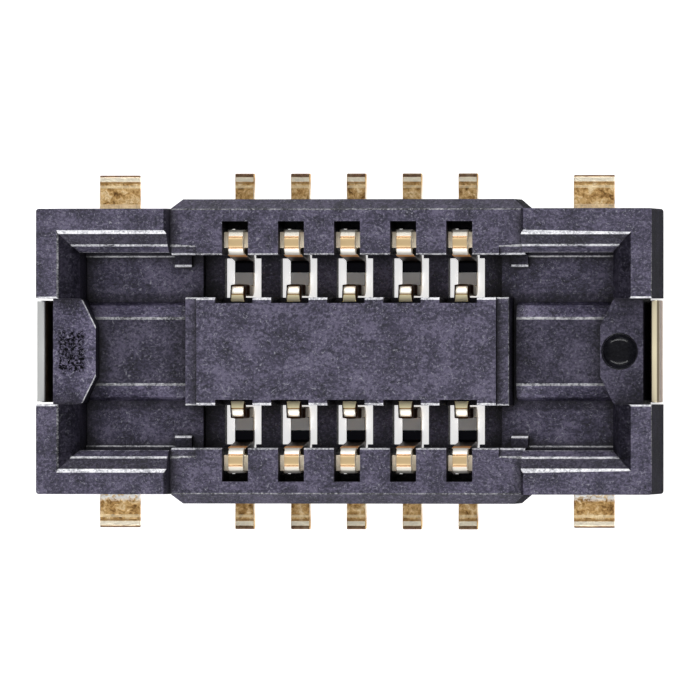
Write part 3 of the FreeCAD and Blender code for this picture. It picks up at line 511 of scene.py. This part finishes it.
painted_shading = np.ones(len(slots))
height = places[:, 2]
skin = slots == SKIN
sloped = (skin & (normals[:, 2] > SLOPE_OVER) & (normals[:, 2] < FLAT_OVER)
          & (np.abs(normals[:, 1]) > SLOPE_OVER))
painted_shading[sloped & (height > 0.70)] = LEAD_IN_TONE
painted_shading[sloped & (height < 0.70)] = THROAT_TONE
painted_shading[sloped & (places[:, 1] > 1.0)] = SHOULDER_TONE
painted_shading[sloped & (height < 0.36)] = PLATEAU_TONE
painted_shading[slots == SIDES] = SIDE_TONE
flat = skin & (normals[:, 2] > FLAT_OVER)
for low, high, floor_shading in FLOORS:
    painted_shading[flat & (height > low) & (height < high)] = floor_shading
boss = (flat & (np.abs(height - BOSS_TOP) < 0.01) & (places[:, 0] > BOSS_FROM)
        & (places[:, 1] < BOSS_HALF))
painted_shading[boss] = np.where(minus_end[boss], MINUS_BOSS_TONE, PLUS_BOSS_TONE)
painted_shading[skin & endways_facing] = ENDWARD_PAINTED_SHADE
# The rounds' painted highlights, as pale as ROUNDS gives, and duller where they face the ends.
for level_at, nearest, farthest, _, pale in ROUNDS:
    near = (places[:, 1] > nearest - ROUND_REACH) & (places[:, 1] < farthest + ROUND_REACH)
    painted_shading[(slots == EDGES) & (np.abs(height - level_at) < ROUND_REACH) & near] = pale
painted_shading[(slots == EDGES) & endways_facing & (height > 0.55)] = ENDWARD_EDGE_PAINTED_SHADE
housing.data.attributes.new("painted_shading", "FLOAT", "FACE").data.foreach_set("value", painted_shading)
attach(housing, "root")
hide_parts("housing")


# THE CONTACTS. Ten strips of gold-plated copper alloy, stamped and then bent: a flat solder
# tail, a folded leg whose shoulders press into its slot, a spring arm and a round bump at the
# end, which works in the island's notch.

STRIP_THICK = 0.070
STRIP_HALF = 0.0675
CREST_HALF = 0.055
TIP_HALF = 0.055
EDGE_SOFT = 0.007
# The strip's middle line, as places away from the middle plane and over the board. Each bend
# has its middle, its radius and its turn, +1 to the left and -1 to the right.
TAIL_TIP = (1.264, 0.035)
TAIL_BEND = ((0.883, 0.090), 0.055, -1)
FOLD = ((0.7715, 0.4485), 0.0565, 1)
HEEL = ((0.620, 0.105), 0.055, -1)
TOE = ((0.482, 0.105), 0.055, -1)
BUMP = ((0.402, 0.365), 0.040, 1)
STRIP_END_U = 0.374


def bent_line(start, bends, end, end_across=None, turn_step=math.radians(5), run_step=0.02):
    """The middle line of a bent strip: its points and its headings.

    Straight runs touch round bends. With C the middle and r the radius of a bend, signed by
    its turn k (+1 left, -1 right), a point of the bend is C minus r times k times the left
    normal of the heading. A run between two bends turns from the line of their middles by
    atan2(r2 - r1, length of the run). Without an end, the line stops in its last bend, at the
    distance end_across from the middle plane.
    """
    middles = np.array([start] + [bend[0] for bend in bends] + ([end] if end else []), float)
    signed = np.array([0.0] + [bend[1] * bend[2] for bend in bends] + ([0.0] if end else []))
    steps = np.diff(middles, axis=0)
    offsets = np.diff(signed)
    lengths = np.sqrt((steps ** 2).sum(1) - offsets ** 2)
    headings = np.arctan2(steps[:, 1], steps[:, 0]) - np.arctan2(offsets, lengths)
    places, turns = [], []
    for number, (middle, radius) in enumerate(zip(middles, signed)):
        if radius:
            leaving = (headings[number] if number < len(headings) else
                       np.sign(radius) * (math.acos((end_across - middle[0]) / abs(radius))
                                          + math.pi / 2))
            turned = (leaving - headings[number - 1]) * np.sign(radius) % (2 * math.pi)
            count = max(2, int(turned / turn_step) + 1)
            angles = headings[number - 1] + np.sign(radius) * np.linspace(0, turned, count)
            normals = np.column_stack([-np.sin(angles), np.cos(angles)])
            places.append(middle - radius * normals)
            turns.append(angles)
        if number < len(headings):
            angle = headings[number]
            normal = np.array([-math.sin(angle), math.cos(angle)])
            first = middle - radius * normal
            last = middles[number + 1] - signed[number + 1] * normal
            count = max(3, int(np.linalg.norm(last - first) / run_step) + 1)
            share = np.linspace(0, 1, count)[1 if radius else 0:]
            if number + 1 < len(signed) and signed[number + 1]:
                share = share[:-1]
            places.append(first + share[:, None] * (last - first))
            turns.append(np.full(len(share), angle))
    return np.concatenate(places), np.concatenate(turns)


ROUND_POINTS = 4
RING_POINTS = 4 * ROUND_POINTS


def ring_faces(rows):
    """Two arrays for the faces between rows of rings: each point's number and its neighbour's.

    A point's number is RING_POINTS times its row plus its place on the ring, and the last
    point of a ring has the first as its neighbour.
    """
    first = np.arange(rows - 1)[:, None] * RING_POINTS
    around = np.arange(RING_POINTS)[None, :]
    return first + around, first + (around + 1) % RING_POINTS


def strip(line, headings, half, thick, face_round, across, face=1, soft=EDGE_SOFT):
    """A strip carried along its middle line, as points and faces.

    At each place of the line stands a rectangle with rounded corners, 2 half wide and thick
    through. The two corners on its face have the radii face_round (across, through), and the
    other two the radius soft. The rectangles shrink by soft at both ends as a quarter round
    does. The face is to the right of the line if face is 1, and to the left if it is -1.
    """
    quarter = np.linspace(0, math.pi / 2, ROUND_POINTS)
    pull = soft * (1 - np.sin(quarter))
    move = soft * (1 - np.cos(quarter))
    ahead = np.column_stack([np.cos(headings), np.sin(headings)])
    line = np.concatenate([line[0] + ahead[0] * move[:, None], line[1:-1],
                           line[-1] - ahead[-1] * move[::-1, None]])
    ahead, half, round_across, round_through = [
        np.concatenate([value[:1].repeat(ROUND_POINTS, 0), value[1:-1],
                        value[-1:].repeat(ROUND_POINTS, 0)])
        for value in (ahead, half, *face_round)]
    inset = np.zeros(len(line))
    inset[:ROUND_POINTS], inset[-ROUND_POINTS:] = pull, pull[::-1]
    outward = np.column_stack([ahead[:, 1], -ahead[:, 0]]) * face

    arcs = np.concatenate([quarter + turn * math.pi / 2 for turn in range(4)])
    corner = np.arange(RING_POINTS) // ROUND_POINTS
    on_face = (corner < 2)[None, :]
    side = np.where(np.isin(corner, (0, 3)), 1.0, -1.0)[None, :]
    through = np.where(on_face, 1.0, -1.0)
    a_round = np.where(on_face, np.maximum(round_across[:, None], soft), soft)
    b_round = np.where(on_face, np.maximum(round_through[:, None], soft), soft)
    a = side * (half[:, None] - inset[:, None] - a_round) + a_round * np.cos(arcs)
    b = through * (thick / 2 - inset[:, None] - b_round) + b_round * np.sin(arcs)
    plane = line[:, None, :] + outward[:, None, :] * b[:, :, None]
    if across == "x":
        points = np.stack([a, plane[:, :, 0], plane[:, :, 1]], axis=2)
    else:
        points = np.stack([plane[:, :, 0], a, plane[:, :, 1]], axis=2)

    here, after = ring_faces(len(line))
    quads = np.stack([here, after, after + RING_POINTS, here + RING_POINTS], axis=2)
    last = (len(line) - 1) * RING_POINTS
    faces = [*quads.reshape(-1, 4).tolist(), list(range(RING_POINTS))[::-1],
             list(range(last, last + RING_POINTS))]
    return points.reshape(-1, 3), faces


def facing_out(made):
    """Turns the faces of a closed mesh outwards."""
    shape = bmesh.new()
    shape.from_mesh(made.data)
    bmesh.ops.scale(shape, vec=Vector((1, 1, 1)) / MM, verts=shape.verts)
    bmesh.ops.recalc_face_normals(shape, faces=shape.faces)
    bmesh.ops.scale(shape, vec=Vector((1, 1, 1)) * MM, verts=shape.verts)
    shape.to_mesh(made.data)
    shape.free()


# The strip narrows over the crest of its fold and again at the bump, each over a short taper.
# The crest and the bump start at these heights, and keep within these places.
CREST_OVER, CREST_REACH, CREST_TAPER = 0.462, 0.060, 0.012
BUMP_OVER, BUMP_WITHIN, BUMP_TAPER = 0.335, 0.470, 0.030
# The nose is the last fifth of the strip over this height. Its face's corners are rounder,
# across and through, and swell from nothing before it to the full round past its start.
NOSE_OVER, NOSE_FROM = 0.30, 0.80
NOSE_BEFORE, NOSE_PAST, NOSE_LAST = 0.020, 0.030, 0.40
NOSE_ACROSS, NOSE_THROUGH = 0.019, 0.024

places, headings = bent_line(TAIL_TIP, [TAIL_BEND, FOLD, HEEL, TOE, BUMP], None, STRIP_END_U)
along = np.concatenate([[0], np.cumsum(np.linalg.norm(np.diff(places, axis=0), axis=1))])
away, over = places[:, 0], places[:, 1]
crest = along[(np.abs(away - FOLD[0][0]) < CREST_REACH) & (over > CREST_OVER)]
bump = along[(away < BUMP_WITHIN) & (over > BUMP_OVER) & (along > along[-1] / 2)]
nose = along[(over > NOSE_OVER) & (along > along[-1] * NOSE_FROM)]
half = np.interp(along, [crest[0] - CREST_TAPER, crest[0], crest[-1], crest[-1] + CREST_TAPER,
                         bump[0] - BUMP_TAPER, bump[0]],
                 [STRIP_HALF, CREST_HALF, CREST_HALF, STRIP_HALF, STRIP_HALF, TIP_HALF])
rounder = np.interp(along, [nose[0] - NOSE_BEFORE, nose[0] + NOSE_PAST, along[-1] - NOSE_PAST,
                            along[-1]], [0.0, 1.0, 1.0, NOSE_LAST])
points, faces = strip(places, headings, half, STRIP_THICK,
                      (EDGE_SOFT + NOSE_ACROSS * rounder, EDGE_SOFT + NOSE_THROUGH * rounder), "x")
strip_body = surface("contact_strip", points, faces)
facing_out(strip_body)


# The noises in the plating: scale, detail, roughness and distortion.
TARNISH = (14000.0, 4.0, 0.6)
SOLDER_PITS = (32000.0, 5.0, 0.62, 0.8)
ROLLED = (20000.0, 3.0, 0.6)
ROLLED_STRETCH = (6.0, 1.0, 1.0)
SOLDERED_SKIN = [(0.37, (0.16, 0.08, 0.03)), (0.45, (0.48, 0.28, 0.10)),
                 (0.52, (0.72, 0.48, 0.21)), (0.61, (0.96, 0.78, 0.50))]
SILVER_GLINT = (0.95, 0.93, 0.90)
GLINT_FADE = 0.03
OUTER_COVER = 0.80
PLATING_RELIEF = 0.005


def gilt(name, pale, deep, smooth, matt, rough_from, rough_to, glints_to=0.0, painted_bands=(),
         painted_outer=None):
    """Gold plating over rolled strip: fine rolling marks, and a pitted skin where it is soldered.

    The skin grows rougher and browner away from the middle plane, between rough_from and
    rough_to. On the -Y side, from rough_from out to the glints' limit, spots of it are painted
    silver as glints. Each band reaches from near to far and from low to high, has its own colour
    and its own roughness, and covers a share of the plating; the bands are painted light and
    shade. The outer colour is a painted shade, with the place along the rows, in millimetres,
    beyond which it lies.
    """
    made = bpy.data.materials.new(name)
    made.use_nodes = True
    tree = made.node_tree
    shader = tree.nodes["Principled BSDF"]
    shader.inputs["Metallic"].default_value = 1.0
    where = node(tree, "ShaderNodeTexCoord").outputs["Object"]
    parts = node(tree, "ShaderNodeSeparateXYZ")
    tree.links.new(where, parts.inputs[0])
    away = reckoned(tree, "ABSOLUTE", parts.outputs["Y"])
    soldered = node(tree, "ShaderNodeMapRange", From_Min=rough_from * MM, From_Max=rough_to * MM)
    tree.links.new(away, soldered.inputs["Value"])
    soldered = soldered.outputs["Result"]
    cloud = noise(tree, where, *TARNISH)
    pits = noise(tree, where, *SOLDER_PITS)
    rolled = noise(tree, stretched(tree, where, ROLLED_STRETCH), *ROLLED)
    plated = ramp(tree, blend_of(tree, 0.25, cloud, rolled), [(0.34, deep), (0.58, pale)])
    pitted = ramp(tree, blend_of(tree, 0.5, cloud, pits), SOLDERED_SKIN)
    colour = painted(tree, soldered, plated, pitted)
    gloss = blend_of(tree, soldered, ramp(tree, rolled, [(0.3, smooth), (0.7, matt)]),
                     ramp(tree, pits, [(0.3, 0.50), (0.7, 0.70)]))
    # Painted light and shade, band by band.
    for near, far, low, high, shade, dull, cover in painted_bands:
        band = reckoned(tree, "COMPARE", away, (near + far) / 2 * MM, (far - near) / 2 * MM)
        band = reckoned(tree, "MULTIPLY", band, reckoned(
            tree, "COMPARE", parts.outputs["Z"], (low + high) / 2 * MM, (high - low) / 2 * MM))
        if cover < 1.0:
            band = reckoned(tree, "MULTIPLY", band, cover)
        colour = painted(tree, band, colour, shade)
        gloss = blend_of(tree, band, gloss, dull)
    # Painted shade on the skin beyond the outer place along the rows.
    if painted_outer:
        outer_from, outer_painted_shade = painted_outer
        beyond = reckoned(tree, "GREATER_THAN", reckoned(tree, "ABSOLUTE", parts.outputs["X"]),
                          outer_from * MM)
        beyond = reckoned(tree, "MULTIPLY", beyond, OUTER_COVER)
        colour = painted(tree, beyond, colour, outer_painted_shade)
    # Painted glints: silver spots on the -Y side of the soldered skin.
    if glints_to:
        glints = node(tree, "ShaderNodeMapRange", From_Min=-glints_to * MM,
                    From_Max=(GLINT_FADE - glints_to) * MM)
        tree.links.new(parts.outputs["Y"], glints.inputs["Value"])
        below = reckoned(tree, "LESS_THAN", parts.outputs["Y"], -rough_from * MM)
        glints = reckoned(tree, "MULTIPLY", reckoned(tree, "MULTIPLY", glints.outputs["Result"], below),
                        ramp(tree, pits, [(0.42, 0.0), (0.50, 1.0)]))
        colour = painted(tree, glints, colour, SILVER_GLINT)
    tree.links.new(colour, shader.inputs["Base Color"])
    tree.links.new(gloss, shader.inputs["Roughness"])
    bump = node(tree, "ShaderNodeBump", Strength=1.0, Distance=PLATING_RELIEF * MM)
    tree.links.new(blend_of(tree, soldered, blend_of(tree, 0.06, 0.5, rolled), pits),
                   bump.inputs["Height"])
    tree.links.new(bump.outputs["Normal"], shader.inputs["Normal"])
    return made


# The shoulders stand out of both sides of the leg: y from and to, then z from and to.
SHOULDERS = [(0.734, 0.847, 0.460, 0.480), (0.795, 0.845, 0.152, 0.478)]
SHOULDER_HALF = 0.091
SHOULDER_ROUND = 0.006


def rounded_box(low, high, radius):
    """A box with rounded edges, as the points of a grid on a sphere pushed out to its corners.

    A point of the unit sphere in direction d goes to the middle, plus the sign of d times the
    half size less the radius, plus the radius times d.
    """
    low, high = np.array(low, float), np.array(high, float)
    rows = 2 * ROUND_POINTS
    quarter = np.linspace(0, math.pi / 2, ROUND_POINTS)
    polar = np.concatenate([quarter, np.linspace(math.pi / 2, math.pi, ROUND_POINTS)])[:, None]
    belt = np.concatenate([quarter + turn * math.pi / 2 for turn in range(4)])[None, :]
    corner = np.arange(RING_POINTS)[None, :] // ROUND_POINTS
    sign_up = np.where(np.arange(rows) < ROUND_POINTS, 1.0, -1.0)[:, None]
    sign_x = np.where(np.isin(corner, (0, 3)), 1.0, -1.0)
    sign_y = np.where(corner < 2, 1.0, -1.0)
    direction = np.stack([np.sin(polar) * np.cos(belt), np.sin(polar) * np.sin(belt),
                          np.cos(polar) * np.ones(belt.shape)], axis=2)
    signs = np.stack(np.broadcast_arrays(sign_x, sign_y, sign_up), axis=2)
    inner = (high - low) / 2 - radius
    points = ((low + high) / 2 + signs * inner + direction * radius).reshape(-1, 3)
    here, after = ring_faces(rows)
    quads = np.stack([here, here + RING_POINTS, after + RING_POINTS, after], axis=2)
    last = (rows - 1) * RING_POINTS
    return points, [*quads.reshape(-1, 4).tolist(), list(range(RING_POINTS)),
                    list(range(last, last + RING_POINTS))[::-1]]


# The bands of the plating: away from the middle plane from and to, height from and to, colour,
# roughness and the share that is covered. They are painted light and shade. The first list is
# for the soldered ends, those of the hold-downs too: a dark tip and a brown line in painted
# shade, and pale stretches between and behind them as painted highlights. The second is for the
# leg and the bends: painted shade, near black, at the feet of the leg and on the slanted leg,
# with an orange painted reflection below the fold; painted light on the trough's floor; painted
# highlights where the fold and the bump turn over, and painted light on the bump's back; a tan
# painted reflection over the crest's middle; brown painted reflections along the fold's crest
# and across the bump; and painted shade round the bump's edge.
PAINTED_SHADE_BLACK = (0.012, 0.012, 0.016)
PAINTED_HIGHLIGHT_WHITE = (1.0, 0.97, 0.90)
PAINTED_REFLECTION_BROWN = (0.22, 0.13, 0.07)
PAINTED_SHADE_BROWN = (0.12, 0.06, 0.03)
END_BANDS = [
    (1.240, 1.300, 0.00, 0.20, (0.10, 0.06, 0.05), 0.60, 0.85),
    (1.206, 1.238, 0.00, 0.20, (1.00, 0.95, 0.80), 0.50, 0.80),
    (1.190, 1.204, 0.00, 0.20, (0.36, 0.21, 0.08), 0.60, 0.70),
    (1.160, 1.180, 0.00, 0.20, (1.00, 0.84, 0.56), 0.50, 0.55),
    (1.000, 1.046, 0.00, 0.20, (1.00, 0.84, 0.60), 0.60, 0.50),
]
BEND_BANDS = [
    (0.862, 0.930, 0.00, 0.30, PAINTED_SHADE_BLACK, 0.50, 1.0),
    (0.560, 0.690, 0.00, 0.13, PAINTED_SHADE_BLACK, 0.50, 1.0),
    (0.470, 0.560, 0.00, 0.24, (1.00, 1.00, 1.00), 1.00, 1.0),
    (0.630, 0.690, 0.13, 0.36, (0.05, 0.03, 0.02), 0.50, 1.0),
    (0.630, 0.685, 0.36, 0.47, (1.00, 0.52, 0.20), 0.60, 1.0),
    (0.735, 0.807, 0.50, 0.55, (0.92, 0.68, 0.38), 0.30, 1.0),
    (0.816, 0.880, 0.46, 0.53, PAINTED_HIGHLIGHT_WHITE, 0.90, 1.0),
    (0.670, 0.726, 0.47, 0.53, PAINTED_HIGHLIGHT_WHITE, 0.62, 1.0),
    (0.804, 0.816, 0.47, 0.55, PAINTED_REFLECTION_BROWN, 0.30, 1.0),
    (0.726, 0.738, 0.47, 0.55, PAINTED_REFLECTION_BROWN, 0.30, 1.0),
    (0.410, 0.480, 0.36, 0.45, (1.00, 0.96, 0.84), 0.50, 1.0),
    (0.401, 0.410, 0.36, 0.45, (0.45, 0.26, 0.10), 0.50, 1.0),
    (0.330, 0.401, 0.36, 0.45, (1.00, 0.94, 0.70), 0.80, 1.0),
    (0.461, 0.482, 0.30, 0.45, PAINTED_SHADE_BROWN, 0.50, 1.0),
]
# The bands of the sheared sides: painted shade along the leg and under the bump.
SHEARED_BANDS = [
    (0.560, 0.745, 0.00, 0.46, (0.08, 0.06, 0.05), 0.50, 1.0),
    (0.330, 0.482, 0.28, 0.46, PAINTED_SHADE_BROWN, 0.50, 1.0),
]
gold = gilt("gold_plating", (0.98, 0.82, 0.53), (0.86, 0.65, 0.36), smooth=0.17, matt=0.28,
            rough_from=0.98, rough_to=1.06, painted_bands=[*END_BANDS, *BEND_BANDS])
# The sheared sides and the shoulders take a paler, near-white gold: painted light that makes the
# shoulders' tops read white.
sheared = gilt("gold_sheared_sides", (1.0, 0.93, 0.80), (0.96, 0.84, 0.68), smooth=0.65,
               matt=0.80, rough_from=1.1, rough_to=1.2, painted_bands=SHEARED_BANDS)

# A face that turns sideways by more than this is one of the strip's sheared sides, and so is
# every face of the shoulders. SHARP_BEND is where the shading breaks at an edge.
SIDEWAYS_FROM = 0.70
SHARP_BEND = math.radians(40)
PITCH = 0.40
CONTACTS_IN_ROW = 5
ROWS = [("back", 1.0), ("front", -1.0)]
boxes = [rounded_box((-SHOULDER_HALF, y0, z0), (SHOULDER_HALF, y1, z1), SHOULDER_ROUND)
         for y0, y1, z0, z1 in SHOULDERS]
body_points = np.zeros(len(strip_body.data.vertices) * 3, np.float32)
strip_body.data.vertices.foreach_get("co", body_points)
body_points = body_points.reshape(-1, 3) / MM
body_faces = [list(polygon.vertices) for polygon in strip_body.data.polygons]
strip_count = len(body_faces)
for box_points, box_faces in boxes:
    start = len(body_points)
    body_points = np.concatenate([body_points, box_points])
    body_faces += [[start + corner for corner in face] for face in box_faces]
bpy.data.objects.remove(strip_body)
for row, turn in ROWS:
    for place in range(CONTACTS_IN_ROW):
        middle = ((place - CONTACTS_IN_ROW // 2) * PITCH, 0.0, 0.0)
        placed = body_points * (turn, turn, 1.0) + middle
        contact = surface(f"contact_{row}_strip_{place + 1}", placed, body_faces)
        contact.data.set_sharp_from_angle(angle=SHARP_BEND)
        contact.data.materials.append(gold)
        contact.data.materials.append(sheared)
        normals = np.zeros(len(body_faces) * 3, np.float32)
        contact.data.polygons.foreach_get("normal", normals)
        cut = np.abs(normals[0::3]) > SIDEWAYS_FROM
        cut[strip_count:] = True
        contact.data.polygons.foreach_set("material_index", cut.astype(np.int32))
        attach(contact, "root")
        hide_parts(f"contact_{row}_{place + 1}")


# THE HOLD-DOWNS. One bent sheet of plated metal at each end. Its base lies under the end
# block and stands out as two solder tabs, and its tongue is bent up into the plate that
# closes the end wall's cut.

PLATE_THICK = 0.056
TAB_HALF = 1.252
PLATE_HALF = 0.361
BASE_FROM, BASE_TO = 1.555, 1.841
PLATE_BEND = ((2.107, 0.086), 0.058, 1)
PLATE_TOP = (2.193, 0.540)
TAB_BEVEL = 0.020
# The sheet's width changes from the tabs' to the plate's within this length.
WIDTH_STEP = 0.001
JUST_OVER = 1e-6
MATT_PALE, MATT_DEEP = (0.30, 0.22, 0.15), (0.17, 0.12, 0.08)
# The band of the plate's sheared top edge, as in the bands of the contacts.
TOP_EDGE = (0.0, 0.37, 0.512, 0.56)
# The two sheets: side, sign of X, the colour of the plate's sheared top edge, a painted
# highlight, warm on the +X end and grey on the -X end, and where the painted shade on the skin
# outside it starts, with its colour.
SHEETS = [
    ("right", 1.0, (1.0, 0.90, 0.64), (2.203, (0.10, 0.065, 0.045))),
    ("left", -1.0, (0.74, 0.75, 0.74), None),
]

level = PLATE_THICK / 2
places, headings = bent_line((BASE_FROM, level), [PLATE_BEND], PLATE_TOP)
after_base = np.searchsorted(places[:, 0], BASE_TO)
places = np.insert(places, after_base, [(BASE_TO, level), (BASE_TO + WIDTH_STEP, level)], axis=0)
headings = np.insert(headings, after_base, [0.0, 0.0])
in_base = (places[:, 0] <= BASE_TO + JUST_OVER) & (places[:, 1] < level + JUST_OVER)
wide = np.where(in_base, TAB_HALF, PLATE_HALF)
bevel = np.where(in_base, TAB_BEVEL, EDGE_SOFT)
points, faces = strip(places, headings, wide, PLATE_THICK, (bevel, bevel), "y", face=-1)

for side, turn, top_painted_highlight, painted_outer in SHEETS:
    tab_metal = gilt(f"hold_down_plating_{side}", MATT_PALE, MATT_DEEP, smooth=0.45, matt=0.60,
                     rough_from=0.95, rough_to=1.03, glints_to=1.07,
                     painted_bands=[(*TOP_EDGE, top_painted_highlight, 0.50, 1.0), *END_BANDS], painted_outer=painted_outer)
    plate = surface(f"hold_down_{side}_sheet", points * (turn, turn, 1.0), faces)
    facing_out(plate)
    plate.data.set_sharp_from_angle(angle=SHARP_BEND)
    plate.data.materials.append(tab_metal)
    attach(plate, "root")
    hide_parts(f"hold_down_{side}")


# THE DIMPLE. The round dimple in the +X boss is the mark of the mould's gate pin: a smooth,
# glossy dish with a faint rolled lip, in the same resin as the rest, but with colours far
# darker than the rest's, a painted shade that makes the dish read black.

DIMPLE_X = 1.9375
DIMPLE_RADIUS = 0.121
LIP_RADIUS = 0.131
LIP_RISE = 0.0025
DISH_DEPTH = 0.060
DISH_CURVE = 0.6
DISH_RINGS = (0.0, 0.25, 0.5, 0.7, 0.84, 0.93, 0.98, 1.0)
LIP_RINGS = 4
AROUND = 64
# The dish's colours, darkened as painted shade.
GLOSS_DARK, GLOSS_MIDDLE = (0.004, 0.004, 0.006), (0.007, 0.007, 0.010)
GLOSS_LIGHT, GLOSS_FLECK = (0.012, 0.012, 0.016), (0.02, 0.02, 0.025)

# At a share of the radius, the dish lies under the boss's top by its depth times one less the
# share squared, to the power DISH_CURVE. Past it the lip rises by half a turn of a sine.
reach = np.array(DISH_RINGS) * DIMPLE_RADIUS
heights = BOSS_TOP - DISH_DEPTH * (1 - (reach / DIMPLE_RADIUS) ** 2) ** DISH_CURVE
lip = np.linspace(0, 1, LIP_RINGS + 1)[1:]
reach = np.concatenate([reach, DIMPLE_RADIUS + (LIP_RADIUS - DIMPLE_RADIUS) * lip])
heights = np.concatenate([heights, BOSS_TOP + LIP_RISE * np.sin(lip * math.pi)])
turns = np.linspace(0, 2 * math.pi, AROUND, endpoint=False)
ring = reach[1:, None, None] * np.stack([np.cos(turns), np.sin(turns)], axis=1)[None]
points = np.concatenate([[(DIMPLE_X, 0.0, heights[0])], np.concatenate(
    [ring + (DIMPLE_X, 0.0), np.broadcast_to(heights[1:, None, None], (*ring.shape[:2], 1))],
    axis=2).reshape(-1, 3)])
number = np.arange(AROUND)
following = (number + 1) % AROUND
faces = np.stack([np.zeros(AROUND, int), 1 + number, 1 + following], axis=1).tolist()
for row in range(len(reach) - 2):
    start = 1 + row * AROUND
    faces += np.stack([start + number, start + AROUND + number, start + AROUND + following,
                       start + following], axis=1).tolist()
dish = surface("dimple_dish", points, faces)
dish.data.attributes.new("painted_shading", "FLOAT", "FACE").data.foreach_set("value", np.ones(len(faces)))
dish.data.materials.append(resin("black_resin_gloss_painted_shade", GLOSS_DARK, GLOSS_MIDDLE, GLOSS_LIGHT,
                                 GLOSS_FLECK, smooth=0.06, matt=0.16, relief=0.001, gloss=0.25,
                                 even=True))
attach(dish, "root")
